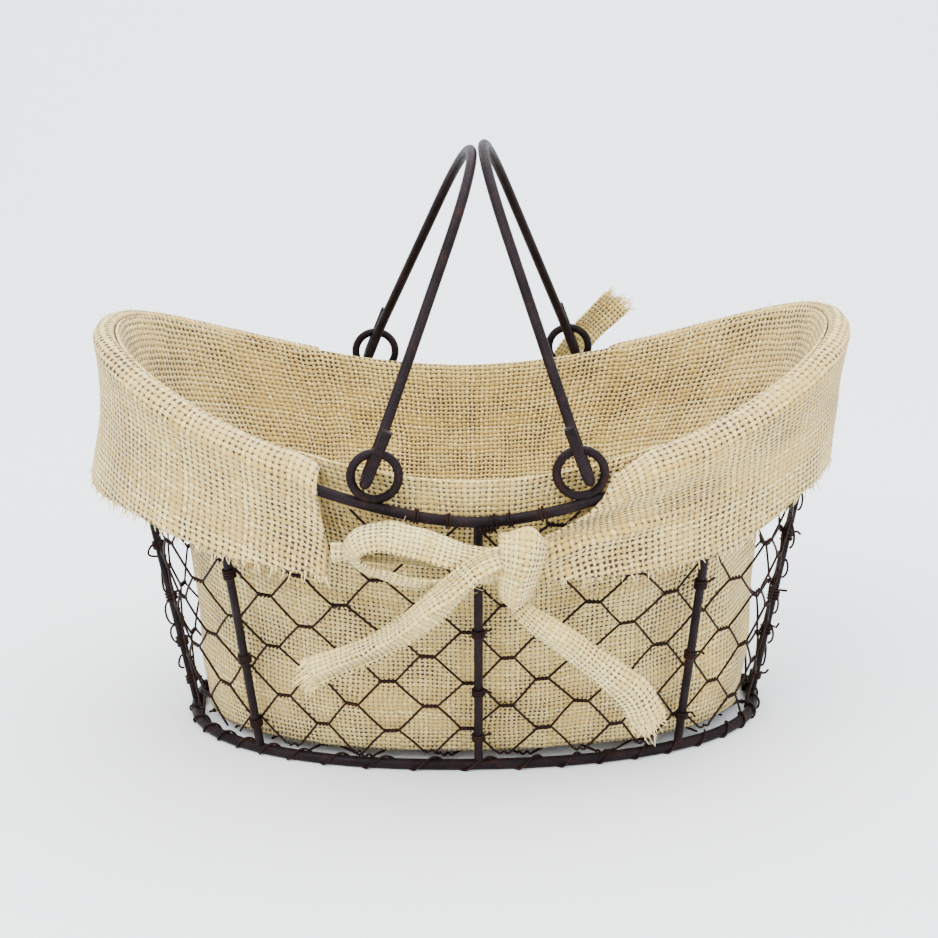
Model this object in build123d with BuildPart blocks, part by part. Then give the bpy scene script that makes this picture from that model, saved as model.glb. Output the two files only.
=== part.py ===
from build123d import *
import os
from math import ceil, copysign, cos, dist, floor, radians, sin, sqrt

# Oval wire basket, 124 mm high at its middle and 182 mm at its ends, with a cloth liner and two bails.
# Millimetres. +Z is up, +X runs along the oval, -Y is the side with the bow, and z = 0 is the floor.

# Frame: an oval base ring, a boat-shaped rim and eight stays between them.
BASE_LENGTH = 130.0  # half-lengths and half-depths, to the middle of the wire
BASE_DEPTH = 72.0
SIDE_LEAN_END = 0.1785  # how far the wall leans out for each millimetre of height
SIDE_LEAN_FRONT = 0.2385
OVAL_POWER = 2.2
BASE_WIRE = 4.8
RIM_WIRE = 4.6
STAY_WIRE = 3.8
RIM_LOW = 124.0
RIM_RISE = 58.0
RIM_RISE_POWER = 1.6
RIM_LENGTH = 162.0
WELD = 0.6  # how deep a welded wire runs into the one it meets
OVAL_POINTS = 32
WIRE_SPANS = 2
SOLVE_STEPS = 40  # repetitions when a point on the curved rim is solved for

# Each stay: its name, and its angle around the oval at the base and at the rim.
STAYS = {
    "stay_end_right": (0, 0),
    "stay_back_right": (49, 52.5),
    "stay_back_centre": (90, 90),
    "stay_back_left": (136, 133),
    "stay_end_left": (180, 180),
    "stay_front_left": (224, 227),
    "stay_front_centre": (270, 270),
    "stay_front_right": (311, 307.5),
}

# Handle rings, welded upright on the rim, and the hooks of the bails that hang in them.
RING_WIRE = 3.7
RING_RADIUS = 9.7
RING_X = {
    "front_left": -41.5,
    "front_right": 41.5,
    "back_left": -45.8,
    "back_right": 49.7,
}
HOOK_OUT = {"left": 4.0, "right": 3.6}  # the hook lies this far outward in its ring
HOOK_DROP = 3.0
HOOK_RADIUS = 4.8
HOOK_TAIL = 25.0
HOOK_SHANK = 12.0
BAIL_WIRE = 4.5
BAIL_HEIGHT = 126.5
BAIL_TAPER = 28.0  # degrees that each leg leans towards the other
BAIL_BEND = 20.0
BAIL_MEET_X = 3.0  # the two bails lean together above this x
BAIL_GAP = 0.5

# Hexagonal wire netting with level twists.
NET_WIRE = 0.85
NET_INSET = 2.65
NET_ROW = 12.7
NET_PERIODS = 21
NET_TWIST = 0.2  # share of a period that a twist takes
NET_GAP = 0.5  # half the distance between the two wires of a twist
NET_LOW = 6.4
NET_RIM_GAP = 3.8
NET_STEPS = 720
NET_ROWS = 13
NET_END_GAP = 0.02  # periods left free at each end of a bay
NET_CORNER_GAP = 0.007  # shares of a bay below which two corners are one
LAP_HEIGHT = 60.0  # the height where the netting's periods are measured round the wall
BASE_NET_HEIGHT = 3.4
BASE_NET_PERIOD = 34.7
BASE_NET_GAP = 1.0

TURN_GAP = 0.2
LACING_TURNS = 44
LACING_SHIFT = 0.3  # shares of one lacing pitch, which keeps the turns clear of the stays
LACING_FROM = -220
LACING_SWEEP = 260  # the turns stay open where the netting passes under them
RIM_TURN_X = (-26.0, -13.0, 5.0, 12.0, 25.0)
BINDING_SHARES = (0.12, 0.34, 0.56)  # heights of the binding turns on each stay

# Cloth: a liner that hangs inside, two cuffs folded out over the rim, and their ties.
CLOTH = 1.4
LINER_SECTIONS = (  # height, half-length and half-depth
    (5.2, 124.0, 67.0),
    (30.0, 128.5, 74.0),
    (60.0, 128.0, 80.5),
    (104.0, 130.5, 91.0),
    (126.0, 141.0, 94.0),
    (146.0, 149.0, 93.5),
    (196.0, 159.0, 97.0),
)
LINER_FLOOR = 2.0
FOLD_LOW = 139.0
FOLD_RISE = 50.0
FOLD_POWER = 1.9
SIDE_REACH = 150.0
CUFF_BOTTOM = (96.0, 174.0, 112.0)
CUFF_TOP = (198.0, 168.0, 110.5)
CUFF_HEM = ((57.0, 102.0), (98.0, 106.0), (138.0, 115.0), (180.0, 118.0))  # x and height
CUFF_REACH = 200.0  # the cuffs' outline is cut out past these
CUFF_CUT_TOP = 260.0
NOTCH_TOP = 150.0
NOTCH_FRONT = (68.0, 57.0)  # x at the fold and at the hem
NOTCH_BACK = (74.0, 68.0)
TIE_WIDTH = 18.0
TIE_Y = 104.5
TIE_THICK = 2.4
BAND_END = 60.0
BAND_END_BACK = 70.0
BAND_END_Z = 113.0
KNOT_FRONT = (16.0, 105.0)
KNOT_BACK = (34.0, 112.0)
KNOT_WIDTH = 16.0
KNOT_HEIGHT = 32.0
KNOT_DEEP = 12.0
KNOT_Y = 107.0
LOOP_CENTRE = (-23.0, 111.0)
LOOP_LENGTH = 31.5
LOOP_HEIGHT = 13.5
LOOP_Y = 108.0
LOOP_DEEP = 8.0
TAIL_Y = 116.4
TAIL_THICK = 1.6
TAILS = {  # start and end (x, z), width and side
    "tail_front_left": ((9.0, 102.0), (-69.0, 62.0), 11.0, -1),
    "tail_front_right": ((18.0, 92.0), (65.0, 35.0), 13.0, -1),
    "tail_back_up": ((40.0, 122.0), (74.0, 168.0), 13.0, 1),
    "tail_back_down": ((32.0, 98.0), (12.0, 44.0), 13.0, 1),
}

os.makedirs("parts", exist_ok=True)


def save(piece, name):
    piece.part.label = name
    export_step(piece.part, f"parts/{name}.step")


def save_group(solids, name):
    group = Compound(label=name, children=solids)
    export_step(group, f"parts/{name}.step")


def oval_point(angle, length, depth, z):
    """A point of a superellipse, with its angle in degrees from +X."""
    x, y = cos(radians(angle)), sin(radians(angle))
    share = 2 / OVAL_POWER
    return (length * copysign(abs(x) ** share, x), depth * copysign(abs(y) ** share, y), z)


def wall_point(angle, z, inset=0.0):
    rise = z - BASE_WIRE / 2
    length = BASE_LENGTH + SIDE_LEAN_END * rise - inset
    depth = BASE_DEPTH + SIDE_LEAN_FRONT * rise - inset
    return oval_point(angle, length, depth, z)


def rim_height(x):
    return RIM_LOW + RIM_RISE * (abs(x) / RIM_LENGTH) ** RIM_RISE_POWER


def rim_point(angle):
    """The rim runs where the leaning wall meets its boat-shaped height, found by repetition."""
    z = RIM_LOW
    for _ in range(SOLVE_STEPS):
        z = rim_height(wall_point(angle, z)[0])
    return wall_point(angle, z)


def rim_at(x, side):
    """The rim's point at a given x, on side -1 (front) or 1 (back)."""
    low, high = 0.0, 180.0
    for _ in range(SOLVE_STEPS):
        middle = (low + high) / 2
        if rim_point(middle)[0] > x:
            low = middle
        else:
            high = middle
    point = rim_point(low)
    return (point[0], side * point[1], point[2])


def closed_wire(name, points, diameter):
    """A closed wire through points, swept in spans that meet end to end."""
    loop = Spline(*points, periodic=True)
    with BuildPart() as wire:
        for span in range(WIRE_SPANS):
            with BuildLine() as path:
                add(loop.trim(span / WIRE_SPANS, (span + 1) / WIRE_SPANS))
            with BuildSketch(Plane(origin=path.line @ 0, z_dir=path.line % 0)):
                Circle(diameter / 2)
            sweep(path=path.line)
    save(wire, name)


def rod(name, start, end, diameter, trim_start, trim_end):
    axis = Vector(*end) - Vector(*start)
    with BuildPart() as bar:
        with BuildSketch(Plane(origin=Vector(*start) + axis.normalized() * trim_start, z_dir=axis)):
            Circle(diameter / 2)
        extrude(amount=axis.length - trim_start - trim_end)
    save(bar, name)


def bent_wire(points, diameter):
    """One wire of the netting, along straight runs with mitred bends."""
    with BuildPart() as wire:
        with BuildLine() as path:
            Polyline(*points)
        with BuildSketch(Plane(origin=path.line @ 0, z_dir=path.line % 0)):
            Circle(diameter / 2)
        sweep(path=path.line, transition=Transition.RIGHT)
    return wire.part.solid()


def turn(centre, axis, radius, diameter, start_angle, sweep_angle):
    """A round turn of wire about an axis, open where sweep_angle is under 360."""
    frame = Plane(origin=centre, x_dir=side_direction(axis), z_dir=axis)
    with BuildPart() as loop:
        with BuildLine(frame) as path:
            CenterArc((0, 0), radius, start_angle, sweep_angle)
        with BuildSketch(Plane(origin=path.line @ 0, z_dir=path.line % 0)):
            Circle(diameter / 2)
        sweep(path=path.line)
    return loop.part.solid()


def side_direction(axis):
    """A level direction square to the axis."""
    level = Vector(*axis).cross(Vector(0, 0, 1))
    return level.normalized() if level.length > 1e-6 else Vector(1, 0, 0)


# Frame
around = [360 * step / OVAL_POINTS for step in range(OVAL_POINTS)]
closed_wire("base_ring", [wall_point(angle, BASE_WIRE / 2) for angle in around], BASE_WIRE)
closed_wire("top_rim", [rim_point(angle) for angle in around], RIM_WIRE)

for stay, (foot_angle, head_angle) in STAYS.items():
    foot = wall_point(foot_angle, BASE_WIRE / 2)
    head = rim_point(head_angle)
    rod(stay, foot, head, STAY_WIRE, BASE_WIRE / 2 - WELD, RIM_WIRE / 2 - WELD)

# Handle rings and bails
ring_centre = {}
for place, ring_x in RING_X.items():
    side = -1 if place.startswith("front") else 1
    x, y, z = rim_at(ring_x, side)
    ring_centre[place] = Vector(x, y, z + RIM_WIRE / 2 + RING_RADIUS + RING_WIRE / 2 - WELD)

for hand, outward in (("left", -1), ("right", 1)):
    front_ring, back_ring = ring_centre[f"front_{hand}"], ring_centre[f"back_{hand}"]
    offset = Vector(outward * HOOK_OUT[hand], 0, -HOOK_DROP)
    front_hook, back_hook = front_ring + offset, back_ring + offset
    hinge = (back_hook - front_hook).normalized()
    for place, centre in ((f"front_{hand}", front_ring), (f"back_{hand}", back_ring)):
        with BuildPart() as ring:
            with BuildSketch(Plane(centre, side_direction(hinge), hinge).rotated((90, 0, 0))):
                with Locations((RING_RADIUS, 0)):
                    Circle(RING_WIRE / 2)
            revolve(axis=Axis(centre, hinge))
        save(ring, f"handle_ring_{place}")

    middle = (front_hook + back_hook) / 2
    half = (back_hook - front_hook).length / 2
    reach = middle.X - BAIL_MEET_X
    lean = outward * BAIL_WIRE / 2 + outward * BAIL_GAP / 2
    inward = Vector(-outward, 0, 0)
    inward = (inward - hinge * inward.dot(hinge)).normalized()
    upward = hinge.cross(inward) * (1 if hinge.cross(inward).Z > 0 else -1)
    tilt = (abs(reach) - abs(lean)) / BAIL_HEIGHT
    rise = upward * sqrt(1 - tilt * tilt) + inward * tilt
    bail_plane = Plane(origin=middle, x_dir=hinge, z_dir=hinge.cross(rise))

    inner, outer = half - HOOK_RADIUS, half + HOOK_RADIUS
    slope_x, slope_y = sin(radians(BAIL_TAPER)), cos(radians(BAIL_TAPER))
    bend_end = (inner - BAIL_BEND * (1 - slope_y), HOOK_SHANK + BAIL_BEND * slope_x)
    reach_out = bend_end[0] * slope_y + bend_end[1] * slope_x
    crown = (reach_out - BAIL_HEIGHT * slope_x) / (1 - slope_x)
    crown_side = (crown * slope_y, BAIL_HEIGHT - crown + crown * slope_x)
    half_turn = radians(BAIL_TAPER / 2)
    bend_middle = (inner - BAIL_BEND * (1 - cos(half_turn)), HOOK_SHANK + BAIL_BEND * sin(half_turn))
    with BuildPart() as bail:
        with BuildLine(bail_plane) as path:
            Line((-outer, HOOK_TAIL), (-outer, HOOK_RADIUS))
            ThreePointArc((-outer, HOOK_RADIUS), (-half, 0), (-inner, HOOK_RADIUS))
            Line((-inner, HOOK_RADIUS), (-inner, HOOK_SHANK))
            ThreePointArc((-inner, HOOK_SHANK), (-bend_middle[0], bend_middle[1]), (-bend_end[0], bend_end[1]))
            Line((-bend_end[0], bend_end[1]), (-crown_side[0], crown_side[1]))
            ThreePointArc((-crown_side[0], crown_side[1]), (0, BAIL_HEIGHT), crown_side)
            Line(crown_side, bend_end)
            ThreePointArc(bend_end, bend_middle, (inner, HOOK_SHANK))
            Line((inner, HOOK_SHANK), (inner, HOOK_RADIUS))
            ThreePointArc((inner, HOOK_RADIUS), (half, 0), (outer, HOOK_RADIUS))
            Line((outer, HOOK_RADIUS), (outer, HOOK_TAIL))
        with BuildSketch(Plane(origin=path.wire() @ 0, z_dir=path.wire() % 0)):
            Circle(BAIL_WIRE / 2)
        sweep(path=path.wire())
    save(bail, f"handle_{hand}")

# Netting: each wire runs round the wall, zigzags between two rows and twists with its neighbours there
lap = [0.0]
for step in range(NET_STEPS):
    here = wall_point(360 * step / NET_STEPS, LAP_HEIGHT)
    there = wall_point(360 * (step + 1) / NET_STEPS, LAP_HEIGHT)
    lap.append(lap[-1] + dist(here, there))


def lap_share(angle):
    """How far round the wall an angle lies, in periods of the netting."""
    place = angle / 360 * NET_STEPS
    low = min(int(place), NET_STEPS - 1)
    length = lap[low] + (lap[low + 1] - lap[low]) * (place - low)
    return length / lap[-1] * NET_PERIODS


def lap_angle(periods):
    length = periods / NET_PERIODS * lap[-1]
    low = 0
    while low < NET_STEPS - 1 and lap[low + 1] < length:
        low += 1
    return 360 * (low + (length - lap[low]) / (lap[low + 1] - lap[low])) / NET_STEPS


def zigzag(row, first, last, period=1.0):
    """Corners (along, up) of the wire between this row and the next, from first to last."""
    shift = 0.5 * (row % 2)
    corners = []
    for count in range(floor(first) - 1, ceil(last) + 1):
        for along, up in ((0, 0), (NET_TWIST, 0), (0.5, 1), (0.5 + NET_TWIST, 1)):
            height = row * NET_ROW + (NET_ROW - NET_GAP if up else NET_GAP)
            corners.append(((count + shift + along) * period, height))
    return clip(corners, first * period, last * period)


def clip(corners, first, last):
    """The part of a polyline from first to last along its first coordinate."""
    kept = []
    for start, end in zip(corners, corners[1:]):
        low, high = max(start[0], first), min(end[0], last)
        if high - low < 1e-6:
            continue
        for along in (low, high):
            height = start[1] + (end[1] - start[1]) * (along - start[0]) / (end[0] - start[0])
            if not kept or along - kept[-1][0] > NET_CORNER_GAP * (last - first):
                kept.append((along, height))
    return kept


def below_rim(corners):
    """Cuts a zigzag into the runs that stay under the rim."""
    runs, run = [], []
    for along, height in corners:
        point = wall_point(lap_angle(along), NET_LOW + height, NET_INSET)
        if point[2] < rim_height(point[0]) - NET_RIM_GAP:
            run.append(point)
        else:
            runs.append(run)
            run = []
    runs.append(run)
    return [run for run in runs if len(run) > 1]


bays = list(STAYS.items())
next_bays = bays[1:] + [("stay_end_right", (360, 360))]
for (first_stay, angles), (next_stay, next_angles) in zip(bays, next_bays):
    first, last = lap_share(angles[0]) + NET_END_GAP, lap_share(next_angles[0]) - NET_END_GAP
    wires = []
    for row in range(NET_ROWS):
        for run in below_rim(zigzag(row, first, last)):
            wires.append(bent_wire(run, NET_WIRE))
    save_group(wires, f"netting_{first_stay[5:]}_to_{next_stay[5:]}")

base_wires = []
base_rows = floor((BASE_DEPTH - BASE_WIRE) / NET_ROW)
floor_length = BASE_LENGTH - BASE_WIRE / 2 - BASE_NET_GAP
floor_depth = BASE_DEPTH - BASE_WIRE / 2 - BASE_NET_GAP
for row in range(-base_rows, base_rows):
    edge = max(abs(row), abs(row + 1)) * NET_ROW / floor_depth
    periods = floor_length * (1 - edge**OVAL_POWER) ** (1 / OVAL_POWER) / BASE_NET_PERIOD
    corners = zigzag(row, -periods, periods, BASE_NET_PERIOD)
    base_wires.append(bent_wire([(along, across, BASE_NET_HEIGHT) for along, across in corners], NET_WIRE))
save_group(base_wires, "base_netting")

# Wire turns that lace the netting to the ring, the rim and the stays
turn_radius = NET_WIRE / 2 + TURN_GAP
foot_turns = []
for count in range(LACING_TURNS):
    angle = lap_angle((count + LACING_SHIFT) * NET_PERIODS / LACING_TURNS)
    ahead = Vector(*wall_point(angle + 1, BASE_WIRE / 2)) - Vector(*wall_point(angle - 1, BASE_WIRE / 2))
    centre = wall_point(angle, BASE_WIRE / 2)
    foot_turns.append(turn(centre, ahead, BASE_WIRE / 2 + turn_radius, NET_WIRE, LACING_FROM, LACING_SWEEP))
save_group(foot_turns, "base_lacing")

rim_turns = []
for turn_x in RIM_TURN_X:
    for side in (-1, 1):
        centre = rim_at(turn_x, side)
        ahead = Vector(*rim_at(turn_x + 1, side)) - Vector(*rim_at(turn_x - 1, side))
        rim_turns.append(turn(centre, ahead, RIM_WIRE / 2 + turn_radius, NET_WIRE, 0, 360))
save_group(rim_turns, "rim_lacing")

stay_turns = []
for stay, (foot_angle, head_angle) in STAYS.items():
    foot, head = Vector(*wall_point(foot_angle, BASE_WIRE / 2)), Vector(*rim_point(head_angle))
    for share in BINDING_SHARES:
        centre = foot + (head - foot) * share
        stay_turns.append(turn(centre, head - foot, STAY_WIRE / 2 + turn_radius, NET_WIRE, 0, 360))
save_group(stay_turns, "stay_bindings")


# Liner and cuffs
def fold_height(x):
    return FOLD_LOW + FOLD_RISE * (abs(x) / RIM_LENGTH) ** FOLD_POWER


def oval_block(sections, inset=0.0):
    with BuildPart() as block:
        for z, length, depth in sections:
            with BuildSketch(Plane.XY.offset(z)):
                with BuildLine():
                    ring = [oval_point(angle, length - inset, depth - inset, z)[:2] for angle in around]
                    Spline(*ring, periodic=True)
                make_face()
        loft(ruled=True)
    return block.part


def under_fold(drop):
    """Everything below the fold line, lowered by drop."""
    with BuildPart() as block:
        with BuildSketch(Plane.XZ):
            with BuildLine():
                line = Spline(*[(x, fold_height(x) - drop) for x in range(-200, 201, 25)])
                Polyline(line @ 1, (200, -20), (-200, -20), line @ 0)
            make_face()
        extrude(amount=SIDE_REACH, both=True)
    return block.part


floor_z, floor_half_length, floor_half_depth = LINER_SECTIONS[0]
liner_space = [(floor_z + LINER_FLOOR, floor_half_length, floor_half_depth), *LINER_SECTIONS[1:]]
with BuildPart() as liner_bag:
    add(oval_block(LINER_SECTIONS))
    add(oval_block(liner_space, CLOTH), mode=Mode.SUBTRACT)
    add(under_fold(0), mode=Mode.INTERSECT)
save(liner_bag, "liner_bag")

for hand, outward in (("left", -1), ("right", 1)):
    with BuildPart() as hollow:
        add(oval_block((CUFF_BOTTOM, CUFF_TOP), CLOTH))
        add(under_fold(CLOTH), mode=Mode.INTERSECT)
    with BuildPart() as cuff:
        # the band of each half, from its hem to past the fold, with a slanted edge at the notch
        for side, notch in ((-1, NOTCH_FRONT), (1, NOTCH_BACK)):
            corners = [(notch[1], CUFF_HEM[0][1]), *CUFF_HEM[1:], (CUFF_REACH, CUFF_HEM[-1][1])]
            corners += [(CUFF_REACH, CUFF_CUT_TOP), (notch[0], CUFF_CUT_TOP), (notch[0], NOTCH_TOP)]
            with BuildSketch(Plane.XZ):
                with BuildLine():
                    Polyline(*[(outward * x, z) for x, z in corners], close=True)
                make_face()
            extrude(amount=-side * SIDE_REACH)
        add(oval_block((CUFF_BOTTOM, CUFF_TOP)), mode=Mode.INTERSECT)
        add(under_fold(0), mode=Mode.INTERSECT)
        add(hollow.part, mode=Mode.SUBTRACT)
        add(oval_block(LINER_SECTIONS), mode=Mode.SUBTRACT)
    save(cuff, f"cuff_{hand}")


# Ties
def strip(name, start, end, width, y, thickness, side):
    """A flat band in an upright plane, from start to end (x, z), its near face at y from the middle."""
    along = Vector(end[0] - start[0], end[1] - start[1]).normalized()
    across = Vector(-along.Y, along.X) * width / 2
    first, last = Vector(*start), Vector(*end)
    corners = [first + across, last + across, last - across, first - across]
    with BuildPart() as band:
        with BuildSketch(Plane.XZ.offset(-side * y)):
            with BuildLine():
                Polyline(*[(corner.X, corner.Y) for corner in corners], close=True)
            make_face()
        extrude(amount=-side * thickness)
    save(band, name)


def knot(name, centre, side):
    with BuildPart() as block:
        with BuildSketch(Plane.XZ.offset(-side * KNOT_Y)):
            with Locations(centre):
                RectangleRounded(KNOT_WIDTH, KNOT_HEIGHT, KNOT_WIDTH / 3)
        extrude(amount=-side * KNOT_DEEP)
    save(block, name)


knot("knot_front", KNOT_FRONT, -1)
knot("knot_back", KNOT_BACK, 1)
for hand, outward in (("left", -1), ("right", 1)):
    inner_x = KNOT_FRONT[0] + outward * KNOT_WIDTH / 2
    start, end = (inner_x, KNOT_FRONT[1]), (outward * BAND_END, BAND_END_Z)
    strip(f"tie_band_front_{hand}", start, end, TIE_WIDTH, TIE_Y, TIE_THICK, -1)
    inner_x = KNOT_BACK[0] + outward * KNOT_WIDTH / 2
    start, end = (inner_x, KNOT_BACK[1]), (outward * BAND_END_BACK, BAND_END_Z)
    strip(f"tie_band_back_{hand}", start, end, TIE_WIDTH, TIE_Y, TIE_THICK, 1)

with BuildPart() as bow_loop:
    with BuildSketch(Plane.XZ.offset(LOOP_Y)):
        with Locations(LOOP_CENTRE):
            Ellipse(LOOP_LENGTH, LOOP_HEIGHT)
            Ellipse(LOOP_LENGTH - TIE_THICK, LOOP_HEIGHT - TIE_THICK, mode=Mode.SUBTRACT)
    extrude(amount=LOOP_DEEP)
save(bow_loop, "bow_loop_front")

for tail, (start, end, width, side) in TAILS.items():
    strip(tail, start, end, width, TAIL_Y, TAIL_THICK, side)
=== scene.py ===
import math
import random

import bpy
import numpy as np
from mathutils import Matrix, Vector, noise


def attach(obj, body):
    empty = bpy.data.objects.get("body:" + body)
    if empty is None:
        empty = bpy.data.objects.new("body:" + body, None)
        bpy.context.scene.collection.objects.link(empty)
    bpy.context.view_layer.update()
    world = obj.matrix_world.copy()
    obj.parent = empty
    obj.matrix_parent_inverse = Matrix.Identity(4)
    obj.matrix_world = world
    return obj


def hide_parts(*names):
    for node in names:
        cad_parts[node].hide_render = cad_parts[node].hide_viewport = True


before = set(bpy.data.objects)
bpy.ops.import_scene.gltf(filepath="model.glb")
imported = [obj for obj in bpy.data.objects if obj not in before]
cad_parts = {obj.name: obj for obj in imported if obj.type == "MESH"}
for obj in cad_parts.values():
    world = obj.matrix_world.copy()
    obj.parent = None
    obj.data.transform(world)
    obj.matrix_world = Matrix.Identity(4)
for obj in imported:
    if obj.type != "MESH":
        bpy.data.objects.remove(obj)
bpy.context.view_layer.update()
random.seed(7)
MM = 0.001

# ---------------------------------------------------------------- camera, floor and light, in metres
CAMERA_X, CAMERA_BACK, CAMERA_UP = -0.0018, 0.8855, 0.3955
CAMERA_PITCH, CAMERA_YAW, CAMERA_ROLL = 0.3072, 0.0171, -0.009
CAMERA_LENS = 78.7
LIGHTS_AIM = (0, 0, 0.1)
FLOOR_HALF = 4.0
BACKDROP_Y, BACKDROP_TOP, BACKDROP_BEND, BACKDROP_STEPS = 1.6, 3.5, 0.7, 12


def add_camera():
    """The camera, in front of the basket and looking a little down at it."""
    camera = bpy.data.objects.new("camera", bpy.data.cameras.new("camera"))
    bpy.context.scene.collection.objects.link(camera)
    camera.data.sensor_width = 36
    camera.data.lens = CAMERA_LENS
    camera.data.clip_start, camera.data.clip_end = 0.01, 20
    camera.matrix_world = (
        Matrix.Rotation(-CAMERA_YAW, 4, "Z")
        @ Matrix.Translation((CAMERA_X, -CAMERA_BACK, CAMERA_UP))
        @ Matrix.Rotation(math.pi / 2 - CAMERA_PITCH, 4, "X")
        @ Matrix.Rotation(CAMERA_ROLL, 4, "Z")
    )
    bpy.context.scene.camera = camera


def new_material(name, roughness, specular):
    """A new material, its node tree and its main shader."""
    material = bpy.data.materials.new(name)
    material.use_nodes = True
    tree = material.node_tree
    shader = tree.nodes["Principled BSDF"]
    shader.inputs["Roughness"].default_value = roughness
    shader.inputs["Specular IOR Level"].default_value = specular
    return material, tree, shader


def floor_material():
    """Pale paper with faint, wide changes of tone."""
    material, tree, shader = new_material("floor_paper", 0.9, 0.1)
    speckle = tree.nodes.new("ShaderNodeTexNoise")
    speckle.inputs["Scale"].default_value = 3
    ramp = tree.nodes.new("ShaderNodeValToRGB")
    ramp.color_ramp.elements[0].color = (0.80, 0.825, 0.85, 1)
    ramp.color_ramp.elements[1].color = (0.86, 0.875, 0.89, 1)
    tree.links.new(speckle.outputs["Fac"], ramp.inputs["Fac"])
    tree.links.new(ramp.outputs["Color"], shader.inputs["Base Color"])
    return material


def add_floor():
    """A level floor that curves up into a backdrop well behind the basket."""
    line = [(-FLOOR_HALF, 0.0), (BACKDROP_Y - BACKDROP_BEND, 0.0)]
    for step in range(1, BACKDROP_STEPS + 1):
        turn = math.pi / 2 * step / BACKDROP_STEPS
        y = BACKDROP_Y - BACKDROP_BEND + BACKDROP_BEND * math.sin(turn)
        line.append((y, BACKDROP_BEND - BACKDROP_BEND * math.cos(turn)))
    line.append((BACKDROP_Y, BACKDROP_TOP))
    verts = [(x, y, z) for y, z in line for x in (-FLOOR_HALF, FLOOR_HALF)]
    faces = [(2 * i, 2 * i + 1, 2 * i + 3, 2 * i + 2) for i in range(len(line) - 1)]
    mesh = bpy.data.meshes.new("floor")
    mesh.from_pydata(verts, [], faces)
    mesh.polygons.foreach_set("use_smooth", [True] * len(faces))
    floor = bpy.data.objects.new("floor", mesh)
    bpy.context.scene.collection.objects.link(floor)
    mesh.materials.append(floor_material())


def add_light(name, place, size, power, colour):
    """A square lamp at a place, turned to the basket."""
    light = bpy.data.objects.new(name, bpy.data.lights.new(name, "AREA"))
    bpy.context.scene.collection.objects.link(light)
    light.data.size = size
    light.data.energy = power
    light.data.color = colour
    light.location = place
    light.rotation_euler = (Vector(LIGHTS_AIM) - Vector(place)).to_track_quat("-Z", "Y").to_euler()


def add_sky(colour, strength):
    """Even light from all round."""
    world = bpy.data.worlds.new("studio")
    bpy.context.scene.world = world
    world.use_nodes = True
    world.node_tree.nodes["Background"].inputs["Color"].default_value = colour
    world.node_tree.nodes["Background"].inputs["Strength"].default_value = strength


add_camera()
add_floor()
add_light("key_light", (-0.9, -1.1, 1.9), 1.6, 74, (1.0, 0.985, 0.96))
add_light("top_light", (0.3, 0.4, 2.2), 2.4, 84, (0.97, 0.985, 1.0))
add_light("fill_light", (1.4, -1.2, 0.9), 1.6, 24, (0.96, 0.98, 1.0))
add_sky((0.90, 0.94, 1.0, 1), 2.0)

# ---------------------------------------------------------------- the basket's own shape, in millimetres
BASE_LENGTH, BASE_DEPTH = 130.0, 72.0  # half the base oval, along and across, to the middle of its wire
LEAN_END, LEAN_FRONT = 0.1785, 0.2385  # how far the wall leans out for each millimetre of height
OVAL_POWER = 2.2
BASE_WIRE, RIM_WIRE, STAY_WIRE = 4.8, 4.6, 3.8
RIM_LOW, RIM_RISE, RIM_RISE_POWER, RIM_LENGTH = 124.0, 58.0, 1.6, 162.0
FOLD_LOW, FOLD_RISE, FOLD_POWER = 139.0, 50.0, 1.9
# the angle of each stay's foot and of its head
STAYS = ((0, 0), (49, 52.5), (90, 90), (136, 133), (180, 180), (224, 227), (270, 270), (311, 307.5))
PITCH = 2.4  # one thread of the burlap
CLOTH_HALF = 0.6  # half the cloth's thickness, with its fibres
WALL_LAP = 745.0  # once round the wall at mid height
SETTLE_STEPS = 30  # rounds in which a height and the length it belongs to are made to agree


def share_of(angle):
    """How far along and across the oval an angle in degrees lies, each from -1 to 1."""
    x, y = np.cos(np.radians(angle)), np.sin(np.radians(angle))
    along = np.sign(x) * np.abs(x) ** (2 / OVAL_POWER)
    across = np.sign(y) * np.abs(y) ** (2 / OVAL_POWER)
    return along, across


def wall(angle, z, inset=0.0):
    """The point of the wire wall at an angle and a height, moved in by inset."""
    along, across = share_of(angle)
    rise = z - BASE_WIRE / 2
    length = BASE_LENGTH + LEAN_END * rise - inset
    depth = BASE_DEPTH + LEAN_FRONT * rise - inset
    return np.stack([length * along, depth * across, z + 0 * along], -1)


def rim_height(x):
    return RIM_LOW + RIM_RISE * (np.abs(x) / RIM_LENGTH) ** RIM_RISE_POWER


def rim_z(angle):
    """The rim's height at an angle."""
    z = RIM_LOW
    for _ in range(SETTLE_STEPS):
        z = rim_height(wall(angle, z)[..., 0])
    return z


def fold_height(x):
    return FOLD_LOW + FOLD_RISE * (np.abs(x) / RIM_LENGTH) ** FOLD_POWER


def soft_noise(points, size, seed):
    """Smooth noise from -1 to 1 at each point, with features about size millimetres across."""
    shift = Vector((seed * 13.7, seed * 7.1, seed * 3.3))
    flat = np.reshape(points, (-1, 3)) / size
    values = [noise.noise(Vector(point) + shift) for point in flat]
    return np.reshape(values, np.shape(points)[:-1])


def lengths_to(points, axis):
    """How far each row or column of a grid of points lies from the first, on average."""
    steps = np.linalg.norm(np.diff(points, axis=axis), axis=2)
    return np.cumsum(np.r_[0, steps.mean(1 - axis)])


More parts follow.
